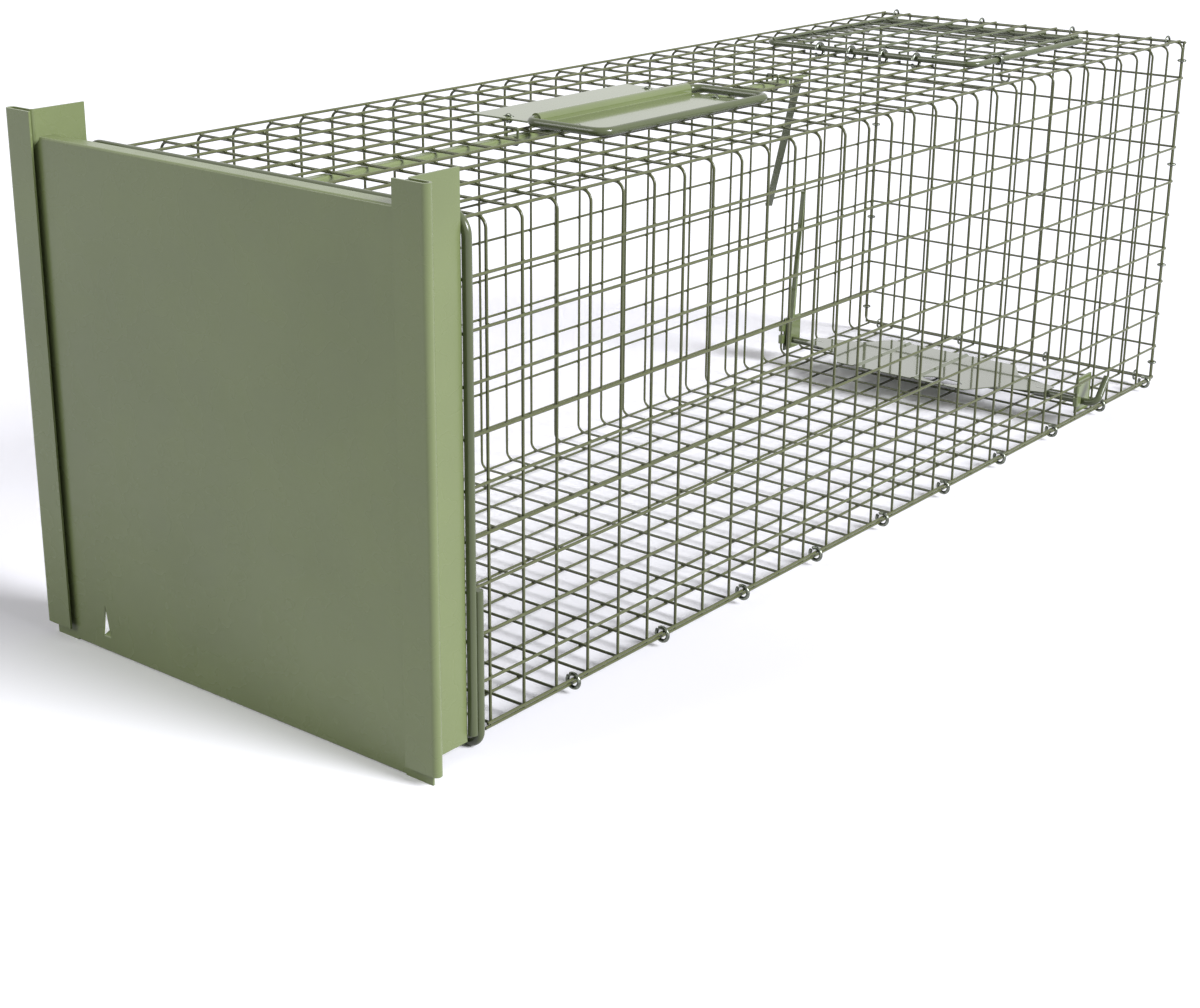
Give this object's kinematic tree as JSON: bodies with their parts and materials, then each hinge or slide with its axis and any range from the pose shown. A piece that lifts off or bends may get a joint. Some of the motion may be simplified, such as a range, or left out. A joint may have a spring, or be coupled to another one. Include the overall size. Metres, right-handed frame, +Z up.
{
  "type": "live animal trap",
  "caption": "Live animal trap: long mesh cage with a drop door in side guides, release bar under the roof, floor treadle, rear bait hatch and a folding carrying handle over a guard plate.",
  "frame": {"origin": "on the ground, below the middle of the whole outline", "axes": "+Y along the cage from the door to the rear, +X to the side where the mesh seam runs along the floor edge, +Z up"},
  "size_m": [0.291, 0.8266, 0.288],
  "materials": {
    "mesh_coat": "satin sage green powder coat on welded wire",
    "rod_coat": "satin sage green powder coat on bent rod",
    "sheet_coat": "satin sage green powder coat on folded sheet",
    "plate_coat": "smooth, glossier sage green powder coat",
    "ring_steel": "bare zinc coated wire"
  },
  "bodies": {
    "cage": {"near_wall_mesh": "mesh_coat", "far_wall_mesh": "mesh_coat", "floor_mesh": "mesh_coat", "roof_mesh_front": "mesh_coat", "roof_mesh_near_hatch_side": "mesh_coat", "roof_mesh_far_hatch_side": "mesh_coat", "roof_mesh_back": "mesh_coat", "rear_mesh_panel": "mesh_coat", "seam_hog_rings": "ring_steel", "rear_edge_hog_rings": "ring_steel", "front_ring": "rod_coat", "near_door_guide": "sheet_coat", "far_door_guide": "sheet_coat", "bar_hanger_loops": "rod_coat", "guard_plate": "plate_coat", "plate_tie_rings": "ring_steel", "near_axle_bracket": "plate_coat", "far_axle_bracket": "plate_coat", "hatch_hinge_rings": "ring_steel"},
    "door": {"drop_door": "sheet_coat"},
    "handle": {"carry_handle": "rod_coat"},
    "trigger_bar": {"release_bar": "sheet_coat", "trigger_strip": "sheet_coat", "trigger_rivet": "ring_steel"},
    "treadle": {"treadle_axle": "rod_coat", "treadle_plate": "plate_coat", "treadle_arm": "plate_coat"},
    "hatch": {"bait_hatch_lid": "rod_coat", "hatch_latch": "ring_steel"}
  },
  "joints": [
    {"name": "door_slide", "type": "slide", "parent": "cage", "child": "door", "axis": [0, 0, 1], "range_m": [0, 0.2606]},
    {"name": "handle_hinge", "type": "hinge", "parent": "cage", "child": "handle", "pos_m": [0, -0.09846, 0.26666], "axis": [0, -1, 0], "range_deg": [0, 180]},
    {"name": "release_bar_slide", "type": "slide", "parent": "cage", "child": "trigger_bar", "axis": [0, -1, 0], "range_m": [0, 0.009]},
    {"name": "treadle_hinge", "type": "hinge", "parent": "cage", "child": "treadle", "pos_m": [0, 0.28704, 0.01864], "axis": [1, 0, 0], "range_deg": [0, 16]},
    {"name": "hatch_hinge", "type": "hinge", "parent": "cage", "child": "hatch", "pos_m": [0, 0.17894, 0.26616], "axis": [1, 0, 0], "range_deg": [0, 110]}
  ]
}
